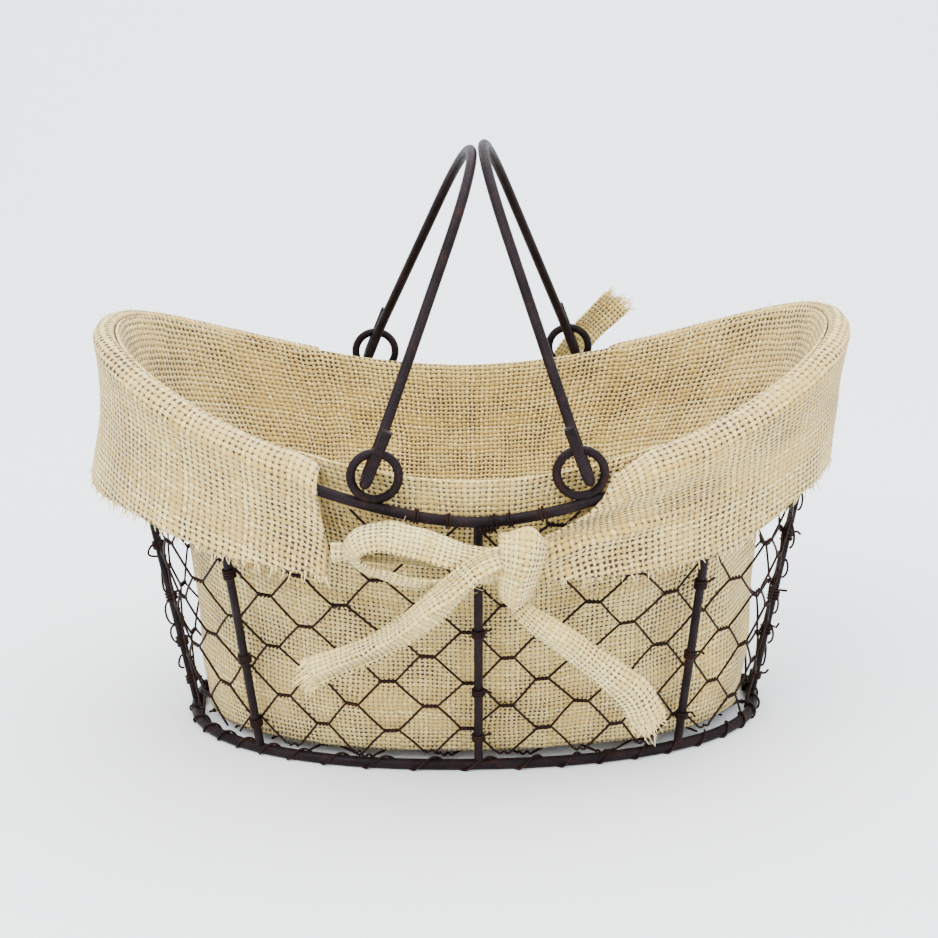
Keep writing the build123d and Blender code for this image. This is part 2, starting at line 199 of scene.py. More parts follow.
# ---------------------------------------------------------------- mesh builders
def finish_piece(name, verts, faces, material, uvs=None):
    """A smooth mesh in millimetres as a piece that rides the frame."""
    mesh = bpy.data.meshes.new(name)
    mesh.from_pydata((np.asarray(verts) * MM).tolist(), [], faces)
    mesh.polygons.foreach_set("use_smooth", [True] * len(mesh.polygons))
    if uvs is not None:
        layer = mesh.uv_layers.new(name="threads")
        corners = np.empty(len(mesh.loops), int)
        mesh.loops.foreach_get("vertex_index", corners)
        layer.data.foreach_set("uv", np.asarray(uvs)[corners].ravel())
    mesh.materials.append(material)
    piece = bpy.data.objects.new(name, mesh)
    bpy.context.scene.collection.objects.link(piece)
    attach(piece, "frame")
    return piece


def tube(points, radius, sides=6, closed=False):
    """Vertices and faces of a round tube along points, with flat ends."""
    points = np.asarray(points, float)
    count = len(points)
    if closed:
        along = np.roll(points, -1, 0) - np.roll(points, 1, 0)
    else:
        along = np.gradient(points, axis=0)
    along /= np.linalg.norm(along, axis=1)[:, None]
    side = np.cross(along[0], (0.3, 0.5, 0.81))
    turn = 2 * np.pi * np.arange(sides) / sides
    verts = []
    for point, tangent, reach in zip(points, along, np.broadcast_to(radius, count)):
        side = side - tangent * side.dot(tangent)
        side /= np.linalg.norm(side)
        other = np.cross(tangent, side)
        verts.extend(point + reach * (np.cos(t) * side + np.sin(t) * other) for t in turn)
    faces = []
    for i in range(count if closed else count - 1):
        here, there = i * sides, (i + 1) % count * sides
        for k in range(sides):
            faces.append((here + k, here + (k + 1) % sides, there + (k + 1) % sides, there + k))
    if not closed:
        faces.append(tuple(reversed(range(sides))))
        faces.append(tuple(range((count - 1) * sides, count * sides)))
    return verts, faces


def joined(parts):
    """Several (vertices, faces) as one."""
    verts, faces = [], []
    for part_verts, part_faces in parts:
        start = len(verts)
        verts.extend(part_verts)
        faces.extend(tuple(start + k for k in face) for face in part_faces)
    return verts, faces


def grid_faces(rows, columns):
    """The four-sided faces of a grid of points, row by row."""
    faces = []
    for i in range(rows - 1):
        for j in range(columns - 1):
            here, below = i * columns + j, (i + 1) * columns + j
            faces.append((here, here + 1, below + 1, below))
    return faces


def cloth(name, points, material, replaces, uv, thick=1.1):
    """A sheet from a grid of points, with its threads counted in uv and a thickness."""
    faces = grid_faces(*points.shape[:2])
    piece = finish_piece(name, points.reshape(-1, 3), faces, material, uv.reshape(-1, 2))
    skin = piece.modifiers.new("thickness", "SOLIDIFY")
    skin.thickness = thick * MM
    skin.offset = 0
    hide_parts(*replaces)


def normals(points):
    """Unit normals of a grid of points."""
    normal = np.cross(np.gradient(points, axis=1), np.gradient(points, axis=0))
    return normal / np.maximum(np.linalg.norm(normal, axis=2)[..., None], 1e-9)


# ---------------------------------------------------------------- materials
class Graph:
    """Short calls for building a node tree."""

    def __init__(self, tree):
        self.tree = tree

    def node(self, kind, inputs=(), **settings):
        """A new node, with its inputs set to values or linked to other nodes' outputs."""
        made = self.tree.nodes.new(kind)
        for key, value in settings.items():
            setattr(made, key, value)
        for key, value in dict(inputs).items():
            if hasattr(value, "is_linked"):
                self.tree.links.new(value, made.inputs[key])
            else:
                made.inputs[key].default_value = value
        return made

    def math(self, operation, first, second=0.0, third=0.0):
        inputs = {0: first, 1: second, 2: third}
        return self.node("ShaderNodeMath", inputs, operation=operation).outputs[0]

    def vectors(self, operation, first, second):
        return self.node("ShaderNodeVectorMath", {0: first, 1: second}, operation=operation).outputs[0]

    def scaled(self, vector, factor):
        return self.node("ShaderNodeVectorMath", {0: vector, 3: factor}, operation="SCALE").outputs[0]

    def noise_node(self, vector, scale, detail=2.0, rough=0.5):
        inputs = {"Vector": vector, "Scale": scale, "Detail": detail, "Roughness": rough}
        return self.node("ShaderNodeTexNoise", inputs)

    def noise(self, vector, scale, detail=2.0, rough=0.5):
        return self.noise_node(vector, scale, detail, rough).outputs["Fac"]

    def place(self):
        return self.node("ShaderNodeTexCoord").outputs["Object"]

    def mix(self, share, first, second):
        inputs = {0: share, 6: first, 7: second}
        return self.node("ShaderNodeMix", inputs, data_type="RGBA", blend_type="MIX").outputs[2]

    def chosen(self, share, if_one, if_zero):
        """One of two values, by a share that is 1 or 0."""
        kept = self.math("MULTIPLY", if_zero, self.math("SUBTRACT", 1.0, share))
        return self.math("MULTIPLY_ADD", if_one, share, kept)

    def spread(self, value, low, high, out_low, out_high):
        inputs = {0: value, 1: low, 2: high, 3: out_low, 4: out_high}
        return self.node("ShaderNodeMapRange", inputs).outputs[0]

    def bump(self, shader, height, strength, distance):
        inputs = {"Height": height, "Strength": strength, "Distance": distance}
        made = self.node("ShaderNodeBump", inputs)
        self.tree.links.new(made.outputs["Normal"], shader.inputs["Normal"])


WORN_METAL = (0.060, 0.044, 0.044, 1)


def iron_material(name, dark, light, rust, grain):
    """Dark painted wire: a purple-grey coat with rusty patches, specks and a worn sheen."""
    material, tree, shader = new_material(name, 0.5, 0.07)
    g = Graph(tree)
    place = g.place()
    patches = g.noise(place, 60, 4, 0.6)
    specks = g.noise(place, grain, 3, 0.7)
    coat = g.mix(g.spread(patches, 0.35, 0.7, 0, 1), dark, light)
    coat = g.mix(g.spread(g.noise(place, 140, 5, 0.65), 0.55, 0.72, 0, 0.75), coat, rust)
    coat = g.mix(g.spread(specks, 0.62, 0.75, 0, 0.55), coat, WORN_METAL)
    tree.links.new(coat, shader.inputs["Base Color"])
    tree.links.new(g.spread(specks, 0.3, 0.7, 0.34, 0.62), shader.inputs["Roughness"])
    height = g.math("ADD", g.math("MULTIPLY", specks, 0.6), g.math("MULTIPLY", patches, 0.4))
    g.bump(shader, height, 0.55, 0.0004)
    return material


def wandering_threads(g, threads):
    """The thread count bent a little, in wide and in small waves, so that no thread runs straight."""
    wide = g.scaled(g.noise_node(threads, 0.16).outputs["Color"], 1.1)
    small = g.scaled(g.noise_node(threads, 0.9).outputs["Color"], 0.34)
    return g.vectors("ADD", threads, g.vectors("ADD", wide, small))


def thread_profile(g, closeness, index, across, along, seed):
    """A thread's height across its width, and a value of its own from 0 to 1."""
    number = g.math("ADD", index, seed)
    own = g.node("ShaderNodeTexWhiteNoise", {"W": number}, noise_dimensions="1D").outputs["Value"]
    inputs = {0: g.math("MULTIPLY", index, 3.7), 1: g.math("MULTIPLY", along, 0.55), 2: seed}
    slub = g.noise(g.node("ShaderNodeCombineXYZ", inputs).outputs[0], 1.0, 1)
    half = g.math("ADD", closeness, g.math("MULTIPLY", own, 0.12))
    half = g.math("ADD", half, g.math("MULTIPLY", slub, 0.32))
    reach = g.math("DIVIDE", across, half)
    round_off = g.math("SUBTRACT", 1.0, g.math("MULTIPLY", reach, reach))
    return g.math("SQRT", g.math("MAXIMUM", round_off, 0.0)), own


def thread_height(g, profile, lift):
    """A thread's height with its way over and under the others, or far below where it is missing."""
    missing = g.math("MULTIPLY", g.math("LESS_THAN", profile, 0.02), 3.0)
    height = g.math("MULTIPLY_ADD", profile, 0.7, g.math("MULTIPLY", lift, 0.42))
    return g.math("SUBTRACT", height, missing)


def fibres(g, place, stretch):
    """Fine streaks along one set of threads."""
    return g.noise(g.vectors("MULTIPLY", place, stretch), 1.0, 3, 0.7)


def burlap_material(name, pale, straw, gap_shade, half_thread):
    """Plain jute weave, drawn from the thread count in the mesh's own coordinates, with painted shade where
    the threads dip and in the gaps between them.
    """
    material, tree, shader = new_material(name, 0.92, 0.15)
    g = Graph(tree)
    threads = g.node("ShaderNodeUVMap", uv_map="threads").outputs["UV"]
    closeness = g.spread(g.noise(threads, 0.09), 0.36, 0.64, half_thread - 0.065, half_thread + 0.075)
    place = wandering_threads(g, threads)
    split = g.node("ShaderNodeSeparateXYZ", {0: place})
    u, v = split.outputs[0], split.outputs[1]
    warp_index, weft_index = g.math("FLOOR", u), g.math("FLOOR", v)
    warp_across = g.math("SUBTRACT", g.math("FRACT", u), 0.5)
    weft_across = g.math("SUBTRACT", g.math("FRACT", v), 0.5)
    crossing = g.math("ABSOLUTE", g.math("ADD", warp_index, weft_index))
    parity = g.math("SUBTRACT", 1.0, g.math("MULTIPLY", g.math("MODULO", crossing, 2), 2.0))

    warp, warp_own = thread_profile(g, closeness, warp_index, warp_across, v, 11.3)
    weft, weft_own = thread_profile(g, closeness, weft_index, weft_across, u, 47.9)
    warp_wave = g.math("COSINE", g.math("MULTIPLY", weft_across, math.pi))
    weft_wave = g.math("COSINE", g.math("MULTIPLY", warp_across, math.pi))
    weft_wave = g.math("MULTIPLY", weft_wave, -1.0)
    warp_high = thread_height(g, warp, g.math("MULTIPLY", parity, warp_wave))
    weft_high = thread_height(g, weft, g.math("MULTIPLY", parity, weft_wave))
    warp_on_top = g.math("GREATER_THAN", warp_high, weft_high)
    high = g.math("MAXIMUM", g.math("MAXIMUM", warp_high, weft_high), -0.9)

    fine = g.chosen(warp_on_top, fibres(g, place, (9.0, 2.2, 1)), fibres(g, place, (2.2, 9.0, 1)))
    own = g.chosen(warp_on_top, warp_own, weft_own)
    tone = g.math("ADD", g.math("MULTIPLY", own, 0.40), g.math("MULTIPLY", fine, 0.90))
    jute = g.mix(g.spread(tone, 0.36, 0.86, 0, 1), pale, straw)
    stains = g.noise(g.place(), 22, 3, 0.6)
    jute = g.mix(g.spread(stains, 0.3, 0.75, 0.0, 0.45), jute, straw)
    # painted shade: the colour goes darker as the weave's height falls, so the low parts of the threads and
    # the gaps between them are painted dark in place of the shade there
    colour = g.mix(g.spread(high, -0.02, 0.80, 0.0, 1.0), gap_shade, jute)
    tree.links.new(colour, shader.inputs["Base Color"])
    g.bump(shader, g.math("ADD", high, g.math("MULTIPLY", fine, 0.35)), 1.0, 0.0011)
    shader.inputs["Sheen Weight"].default_value = 0.25
    shader.inputs["Sheen Roughness"].default_value = 0.5
    return material


def fibre_material(pale, straw):
    """The loose threads' jute."""
    material, tree, shader = new_material("jute_fibre", 0.85, 0.2)
    g = Graph(tree)
    tone = g.noise(g.place(), 420)
    tree.links.new(g.mix(tone, pale, straw), shader.inputs["Base Color"])
    return material


iron = iron_material(
    "painted_iron",
    dark=(0.0050, 0.0027, 0.0033, 1),
    light=(0.0135, 0.0078, 0.0095, 1),
    rust=(0.028, 0.010, 0.006, 1),
    grain=900,
)
wire_coat = iron_material(
    "netting_coat",
    dark=(0.0085, 0.0036, 0.0030, 1),
    light=(0.021, 0.0088, 0.0068, 1),
    rust=(0.042, 0.015, 0.008, 1),
    grain=1500,
)
# each burlap's darkest colour is painted shade, for the low parts of its weave and the gaps between its
# threads
burlap = burlap_material(
    "burlap",
    pale=(0.99, 0.81, 0.31, 1),
    straw=(0.56, 0.36, 0.080, 1),
    gap_shade=(0.036, 0.012, 0.003, 1),
    half_thread=0.125,
)
tie_burlap = burlap_material(
    "tie_burlap",
    pale=(1.0, 0.86, 0.36, 1),
    straw=(0.62, 0.42, 0.105, 1),
    gap_shade=(0.050, 0.020, 0.006, 1),
    half_thread=0.175,
)
fibre = fibre_material((0.90, 0.76, 0.36, 1), (0.60, 0.42, 0.15, 1))

IRON_NODES = [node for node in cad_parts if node.startswith(("base_ring", "top_rim", "handle_"))]
IRON_NODES += [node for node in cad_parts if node.startswith("stay_") and node != "stay_bindings"]
for node in IRON_NODES:
    for material_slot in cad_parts[node].material_slots:
        material_slot.material = iron

# ---------------------------------------------------------------- netting
NET_WIRE, NET_INSET, NET_LOW = 1.1, 2.65, 6.4
NET_ROWS, NET_ROW, NET_PERIODS = 14, 12.7, 21
NET_TWIST = 0.2  # the share of a period in which two wires wind about each other
NET_RIM_GAP, NET_FLOOR_GAP = 3.2, 0.8
NET_PERIOD, FLOOR_PERIOD = 35.0, 34.7  # a period's length round the wall, about, and across the floor
TWIST_TURNS, TWIST_POINTS, TWIST_RADIUS = 2, 11, 0.54
SHORTEST_RUN = 4  # points; shorter pieces of wire are left out
TURN_REACH = NET_WIRE / 2 + 0.05  # from a rod's face to the middle of a wire wound on it
FLOOR_NET_Z, FLOOR_NET_EDGE = 3.4, 3.0
FLOOR_ROWS, FLOOR_PERIODS = 5, 4  # to each side of the middle
BASE_TURNS = 43
RIM_TURNS_X = (-26.0, -13.0, 5.0, 12.0, 25.0)
RIM_KNOT_X, RIM_KNOT_DROP, RIM_KNOT_RADIUS, RIM_KNOT_TURNS = 4.0, 3.0, 1.25, 4.5
NET_SWAY, NET_RIPPLE, NET_BULGE = 0.075, 2.4, 0.35  # unevenness along, in periods, then up and outwards
SIDE_BINDINGS = (0.09, 0.31, 0.56)  # how far up a stay its coils are
END_BINDINGS = (0.06, 0.16, 0.28, 0.42, 0.55, 0.68)
BINDING_TAIL = (0.8, 2.0, 3.4)  # how far out a coil's loose end reaches, point by point
LOOPS, LOOPS_FROM, LOOPS_APART = 7, 16, 15.0

lap_angles = np.linspace(0, 360, 721)
lap_steps = np.linalg.norm(np.diff(wall(lap_angles, 60.0), axis=0), axis=1)
lap_lengths = np.r_[0, np.cumsum(lap_steps)]
lap_lengths *= NET_PERIODS / lap_lengths[-1]


def lap_angle(periods):
    return np.interp(np.mod(periods, NET_PERIODS), lap_lengths, lap_angles)


def way_round(angle):
    """How far round the wall an angle from 0 to 360 lies, in millimetres."""
    return np.interp(angle, lap_angles, lap_lengths) / NET_PERIODS * WALL_LAP


def wire_piece(name, wires, nodes):
    """Tubes of wire as one piece that stands for some of the CAD's nodes."""
    verts, faces = joined(wires)
    piece = finish_piece(name, verts, faces, wire_coat)
    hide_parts(*nodes)


def twisted_period(row):
    """Along, up and out of one period of a wire that zigzags between two rows and winds at each."""
    shift = 0.5 * (row % 2)
    along, up, out = [], [], []
    for start, level, sign in ((0.0, 0, 1), (0.5, 1, -1)):
        turn = np.linspace(0, 2 * np.pi * TWIST_TURNS, TWIST_POINTS * TWIST_TURNS)
        share = np.linspace(0, 1, len(turn))
        along.append(start + shift + NET_TWIST * share)
        up.append(level * NET_ROW + sign * TWIST_RADIUS * np.cos(turn))
        out.append(TWIST_RADIUS * np.sin(turn) * sign)
        share = np.array([0.12, 0.5, 0.88])
        along.append(start + shift + NET_TWIST + (0.5 - NET_TWIST) * share)
        up.append(level * NET_ROW + (NET_ROW - 2 * TWIST_RADIUS) * share * sign + sign * TWIST_RADIUS)
        out.append(0 * share)
    return np.concatenate(along), np.concatenate(up), np.concatenate(out)


def kept_runs(points, keep):
    """The unbroken runs of the points to keep."""
    runs, run = [], []
    for point, kept in zip(points, keep):
        if kept:
            run.append(point)
        elif run:
            runs.append(run)
            run = []
    runs.append(run)
    return [np.array(run) for run in runs if len(run) > SHORTEST_RUN]


def wall_runs(row):
    """The runs of one slightly uneven wire round the wall that stay under the rim."""
    along, up, out = twisted_period(row)
    along = np.concatenate([along + count for count in range(NET_PERIODS)])
    up, out = np.tile(up, NET_PERIODS) + NET_LOW + row * NET_ROW, np.tile(out, NET_PERIODS)
    flat = np.stack([along * NET_PERIOD, up, 0 * up], -1)
    along = along + NET_SWAY * soft_noise(flat, 34.0, 1)
    up = up + NET_RIPPLE * soft_noise(flat, 30.0, 2)
    inset = NET_INSET + NET_BULGE * soft_noise(flat, 26.0, 3) + out
    points = wall(lap_angle(along), up, inset)
    keep = points[:, 2] < rim_height(points[:, 0]) - NET_RIM_GAP
    keep &= points[:, 2] > BASE_WIRE + NET_FLOOR_GAP
    return kept_runs(points, keep)


def floor_wire(row):
    """The part of one wire across the floor that lies inside the base ring."""
    along, up, out = twisted_period(row)
    periods = range(-FLOOR_PERIODS, FLOOR_PERIODS)
    along = np.concatenate([(along + count) * FLOOR_PERIOD for count in periods])
    across = np.tile(up, len(periods)) + row * NET_ROW
    length, depth = BASE_LENGTH - FLOOR_NET_EDGE, BASE_DEPTH - FLOOR_NET_EDGE
    inside = (np.abs(along) / length) ** OVAL_POWER + (np.abs(across) / depth) ** OVAL_POWER < 1
    return np.stack([along, across, FLOOR_NET_Z + np.tile(out, len(periods))], -1)[inside]


def coil(start, end, radius, turns, per_turn=12):
    """A helix about the straight line from start to end."""
    start, end = np.asarray(start, float), np.asarray(end, float)
    along = (end - start) / max(np.linalg.norm(end - start), 1e-9)
    side = np.cross(along, (0.31, 0.87, 0.21))
    side /= np.linalg.norm(side)
    other = np.cross(along, side)
    share = np.linspace(0, 1, int(turns * per_turn) + 1)
    turn = 2 * np.pi * turns * share
    around = np.outer(np.cos(turn), side) + np.outer(np.sin(turn), other)
    return start + np.outer(share, end - start) + radius * around


def lacing(line, radius, turns, lowest):
    """A slightly uneven helix about a closed, level line, flattened where it would go under lowest."""
    along = np.roll(line, -1, 0) - np.roll(line, 1, 0)
    along /= np.linalg.norm(along, axis=1)[:, None]
    side = np.cross(along, (0, 0, 1))
    side /= np.linalg.norm(side, axis=1)[:, None]
    other = np.cross(side, along)
    share = np.arange(len(line)) / len(line)
    turn = 2 * np.pi * (turns * share + 0.13 * np.sin(2 * np.pi * 5 * share))
    points = line + radius * (np.cos(turn)[:, None] * side + np.sin(turn)[:, None] * other)
    points[:, 2] = np.maximum(points[:, 2], lowest)
    return points


def rim_near(x, front):
    """The rim's angle at a given x, on its front or its back."""
    angles = np.linspace(180, 360, 1801) if front else np.linspace(180, 0, 1801)
    return np.interp(x, wall(angles, rim_z(angles))[:, 0], angles)


def rim_windings(front):
    """Single turns round the middle of the rim, and a small knot of wire under it."""
    made = []
    for x in RIM_TURNS_X:
        angle = rim_near(x, front) + np.array([0.0, random.uniform(0.5, 1.1)])
        start, end = wall(angle, rim_z(angle))
        made.append(tube(coil(start, end, RIM_WIRE / 2 + TURN_REACH, 1.5), NET_WIRE / 2))
    angle = rim_near(RIM_KNOT_X, front) + np.array([-0.9, 0.9])
    start, end = wall(angle, rim_z(angle) - RIM_KNOT_DROP, -1.2)
    made.append(tube(coil(start, end, RIM_KNOT_RADIUS, RIM_KNOT_TURNS), NET_WIRE / 2))
    return made


def stay_binding(foot, head, share):
    """A short coil round a stay, about share of the way up, with its end sticking out."""
    share += random.uniform(-0.02, 0.02)
    length = random.uniform(0.018, 0.030)
    low, high = foot + (head - foot) * share, foot + (head - foot) * (share + length)
    winding = coil(low, high, STAY_WIRE / 2 + TURN_REACH, random.choice((2.5, 3.5)))
    outward = winding[-1] - high
    outward /= np.linalg.norm(outward)
    tail = []
    for reach in BINDING_TAIL:
        lift = np.array([0, 0, 0.7 * reach]) * random.uniform(-1, 1)
        tail.append(winding[-1] + outward * reach + lift)
    return tube(np.vstack([winding, tail]), NET_WIRE / 2)


def loose_loop(end, z):
    """A loop of the netting's cut end, standing off one of the two end stays."""
    start = wall(np.array(180.0 if end < 0 else 0.0), np.array(z)) + (0, random.uniform(-1.5, 1.5), 0)
    reach, tall = random.uniform(1.2, 4.2), random.uniform(5, 14)
    aside = random.uniform(-6, 6)
    bow = np.linspace(0, np.pi * random.uniform(0.8, 1.0), 9)
    out = end * (1.8 + reach * np.sin(bow))
    points = start + np.stack([out, aside * np.sin(bow) ** 2 - 2.0, tall * (1 - np.cos(bow)) / 2], -1)
    return tube(points, NET_WIRE / 2)


wires = [tube(run, NET_WIRE / 2) for row in range(NET_ROWS) for run in wall_runs(row)]
wire_piece("netting_wires", wires, [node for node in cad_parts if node.startswith("netting_")])

wires = [floor_wire(row) for row in range(-FLOOR_ROWS, FLOOR_ROWS)]
wires = [tube(points, NET_WIRE / 2) for points in wires if len(points) > SHORTEST_RUN]
wire_piece("base_netting_wires", wires, ["base_netting"])

base_line = wall(np.linspace(0, 360, 1200, endpoint=False), BASE_WIRE / 2)
base_turns = lacing(base_line, BASE_WIRE / 2 + TURN_REACH, BASE_TURNS, NET_WIRE / 2)
wire_piece("base_lacing_wire", [tube(base_turns, NET_WIRE / 2, closed=True)], ["base_lacing"])

wire_piece("rim_lacing_wire", rim_windings(True) + rim_windings(False), ["rim_lacing"])

bindings = []
for foot_angle, head_angle in STAYS:
    foot = wall(np.array(float(foot_angle)), BASE_WIRE / 2)
    head = wall(np.array(float(head_angle)), rim_z(np.array(float(head_angle))))
    shares = END_BINDINGS if foot_angle in (0, 180) else SIDE_BINDINGS
    bindings += [stay_binding(foot, head, share) for share in shares]
for end in (-1, 1):
    for count in range(LOOPS):
        z = LOOPS_FROM + LOOPS_APART * count + random.uniform(-5, 5)
        bindings.append(loose_loop(end, z))
wire_piece("stay_binding_wires", bindings, ["stay_bindings"])

# ---------------------------------------------------------------- liner
# half-length and half-depth of the liner at some heights
LINER_HEIGHTS = (5.2, 30.0, 60.0, 104.0, 126.0, 146.0, 196.0)
LINER_LENGTHS = (124.0, 128.5, 128.0, 130.5, 141.0, 149.0, 159.0)
LINER_DEPTHS = (67.0, 74.0, 80.5, 91.0, 94.0, 93.5, 97.0)
LINER_COLUMNS, LINER_ROWS, LINER_FLOOR_ROWS = 241, 62, 14
LINER_FLOOR_Z, LINER_LOW = 7.2, 6.4
LINER_TUCK, CUFFS_FROM = 1.6, 72  # under the cuffs, so beyond this x, the edge is a little lower
LINER_SAG = 3.4
LINER_LIFT, LINER_TURN_IN = 1.6, 0.8  # how unevenly the low edge is lifted, and how far it turns in


def liner_outline(angle, z, inset=0.0):
    """The point of the liner at an angle and a height, moved in by inset."""
    along, across = share_of(angle)
    length = np.interp(z, LINER_HEIGHTS, LINER_LENGTHS) - inset
    depth = np.interp(z, LINER_HEIGHTS, LINER_DEPTHS) - inset
    return np.stack([length * along, depth * across, z + 0 * along], -1)


def liner_top(angle):
    """The height of the liner's fold at an angle."""
    z = np.full(np.shape(angle), 150.0)
    for _ in range(SETTLE_STEPS):
        z = fold_height(liner_outline(angle, z, CLOTH_HALF)[..., 0])
    return z


def liner_wall(angle):
    """The liner's side from its low edge up to the fold, sagging unevenly between them."""
    top = liner_top(angle)
    under_cuff = np.clip((np.abs(liner_outline(angle, top)[:, 0]) - CUFFS_FROM) / 8, 0, 1)
    top = top - LINER_TUCK * under_cuff
    edge = np.stack([angle * 2.1, 0 * angle, 0 * angle], -1)
    low = LINER_LOW + LINER_LIFT * np.abs(soft_noise(edge, 40.0, 4))
    shares = np.linspace(0, 1, LINER_ROWS)
    rows = []
    for share in shares:
        inset = CLOTH_HALF + (1 - share) ** 3 * LINER_TURN_IN
        rows.append(liner_outline(angle, low + (top - low) * share, inset))
    points = np.array(rows)
    points[1:-1] = (points[:-2] + points[1:-1] * 2 + points[2:]) / 4
    heights, turns = np.meshgrid(np.linspace(0, 130, LINER_ROWS), np.radians(angle), indexing="ij")
    even = np.stack([np.cos(turns) * 120, np.sin(turns) * 75, heights * 0.45], -1)
    sag = LINER_SAG * (soft_noise(even, 26.0, 5) + 0.6) * np.sin(np.pi * shares[:, None]) ** 0.6
    reach = np.linalg.norm(points[..., :2], axis=2)
    points[..., :2] *= 1 - (sag / reach)[..., None]
    return points


def liner_floor(edge):
    """The liner's floor from near its middle out to the low edge of its side."""
    rows = []
    for share in np.linspace(0.02, 1, LINER_FLOOR_ROWS, endpoint=False):
        row = edge * share
        row[:, 2] = LINER_FLOOR_Z + (edge[:, 2] - LINER_FLOOR_Z) * share**6
        rows.append(row)
    return np.array(rows)


def add_liner():
    """The liner as one sheet, with its threads along x and y in its floor and round and up its side."""
    angle = np.linspace(0, 360, LINER_COLUMNS)
    side = liner_wall(angle)
    points = np.concatenate([liner_floor(side[0]), side])
    uv = np.stack(np.meshgrid(way_round(angle), lengths_to(points, 0)), -1) / PITCH
    uv[:LINER_FLOOR_ROWS] = points[:LINER_FLOOR_ROWS, :, :2] / PITCH
    cloth("liner_cloth", points, burlap, ["liner_bag"], uv)


add_liner()

# ---------------------------------------------------------------- cuffs
BEND_ROWS, ARCH_ROWS, FALL_ROWS, CUFF_COLUMNS = 5, 13, 34, 190
BEND = 2.5
CREST_LENGTH, CUFF_RIM_LENGTH = 150.0, 162.0  # half the oval's length at the fold and at the rim
CUFF_WAVE, CUFF_RIPPLE, HEM_WAVE = 2.4, 0.7, 0.9
FULL_LENGTH = 160  # the length over which the heights of a hem are given
HANDLE_DENT = 5.0  # how far a lowered handle has pressed the fold down beside its rings
DENT_FROM, DENT_TO = 72.0, 58.0
RIM_COVER = 3.5  # from the middle of the rim's wire to the middle of the cloth over it
PLEATS_AT = (29.5, 119.0)  # x and height of the valley between the pleats, near the knot
PLEATS_SLOPE = (0.28, 0.96)
# each pleat's height, its place above the valley, how much further down it is for each mm of x, its width
PLEATS = ((3.4, 6.0, 0.0, 3.6), (-3.0, 0.0, 0.0, 2.2), (2.4, -8.0, 0.0, 3.4), (-1.6, -3.4, 0.04, 1.6))
CUFFS = {
    # notch: x at the fold and the rim, then shares of the fall and the x at each
    # hem: x and the hem's height there; flare: how far the hem stands out beside the notch and at the end
    "left": {
        "front": ((64.0, 66.5), (0, 0.35, 0.7, 1), (66.5, 63.0, 58.0, 56.5)),
        "back": ((74.0, 74.0), (0, 0.5, 1), (74.0, 72.0, 68.0)),
        "hem": ((0, 57, 98, 138, 172), (101.0, 101.5, 104.5, 116.0, 120.5)),
        "flare": (8.0, 17.0),
        "replaces": ["cuff_left"],
    },
    "right": {
        "front": ((58.0, 51.0), (0, 0.21, 0.32, 0.38, 1), (50.0, 39.0, 29.5, 20.0, 20.0)),
        "back": ((72.0, 68.0), (0, 0.3, 0.5, 1), (68.0, 56.0, 44.0, 38.0)),
        "hem": ((0, 68, 97, 110, 125, 139, 157), (99.5, 100.0, 102.0, 106.0, 113.5, 121.5, 126.0)),
        "flare": (7.0, 3.5),
        "replaces": ["cuff_right", "tie_band_front_right", "tie_band_back_right"],
    },
}


def angle_of(share, side, front):
    """The angle where the oval is share of its half-length along towards side, at its front or its back."""
    turn = math.degrees(math.acos(min(share, 1.0) ** (OVAL_POWER / 2)))
    turn = -turn if front else turn
    return turn if side > 0 else 180 - turn


def gathered(points):
    """How far the right cuff's cloth stands out in the pleats that run into the front knot."""
    x, z = points[..., 0], points[..., 2]
    ahead = points[..., 1] < 0
    valley = -(x - PLEATS_AT[0]) * PLEATS_SLOPE[0] + (z - PLEATS_AT[1]) * PLEATS_SLOPE[1]
    share = np.clip((x - 18) / 8, 0, 1) * np.clip((108 - x) / 45, 0, 1) * ahead
    pleats = 0 * x
    for height, place, slant, width in PLEATS:
        pleats += height * np.exp(-(((valley - place + slant * x) / width) ** 2))
    return pleats * share


def outward_of(points):
    """Unit directions away from the basket's middle, seen from above."""
    return points[..., :2] / np.linalg.norm(points[..., :2], axis=-1)[..., None]


def notch_angles(shape, side, arch, fall):
    """The angles where one row of a cuff starts and stops, at its front and its back notch."""
    half = CREST_LENGTH + (CUFF_RIM_LENGTH - CREST_LENGTH) * (arch - fall)
    ends = []
    for place in ("front", "back"):
        (crest_x, rim_x), falls, xs = shape[place]
        x = crest_x + (rim_x - crest_x) * arch if fall == 0 else np.interp(fall, falls, xs)
        ends.append(angle_of(x / half, side, place == "front"))
    return ends


def fold_row(angle, row):
    """One row of a cuff before its fall: up the bend inside the fold, then over to the rim."""
    top, rim = liner_top(angle), rim_z(angle)
    inner = liner_outline(angle, top, -CLOTH_HALF)
    dent = np.clip((DENT_FROM - np.abs(inner[:, 0])) / (DENT_FROM - DENT_TO), 0, 1) ** 1.5
    top = top - HANDLE_DENT * dent
    reach = wall(angle, rim, -RIM_COVER) - inner
    bend_share = BEND / np.linalg.norm(reach[:, :2], axis=1)
    if row < BEND_ROWS:
        turn = np.pi / 2 * row / BEND_ROWS
        share = bend_share * (1 - np.cos(turn))
        z = top - BEND + BEND * np.sin(turn)
    else:
        turn = np.pi / 2 * (row - BEND_ROWS) / ARCH_ROWS
        share = bend_share + (1 - bend_share) * np.sin(turn)
        z = top - (top - rim) * (1 - np.cos(turn))
    points = inner + reach * share[:, None]
    points[:, 2] = z
    return points


def fall_row(shape, angle, fall):
    """One row of a cuff below the rim, standing out more the nearer it is to the hem."""
    rim = rim_z(angle)
    along = np.abs(share_of(angle)[0])
    hem = np.interp(along * FULL_LENGTH, *shape["hem"])
    near, far = shape["flare"]
    points = wall(angle, rim + (hem - rim) * fall)
    out = RIM_COVER + (near + (far - near) * along**4) * fall**1.7
    points[:, :2] += outward_of(points) * out[:, None]
    return points


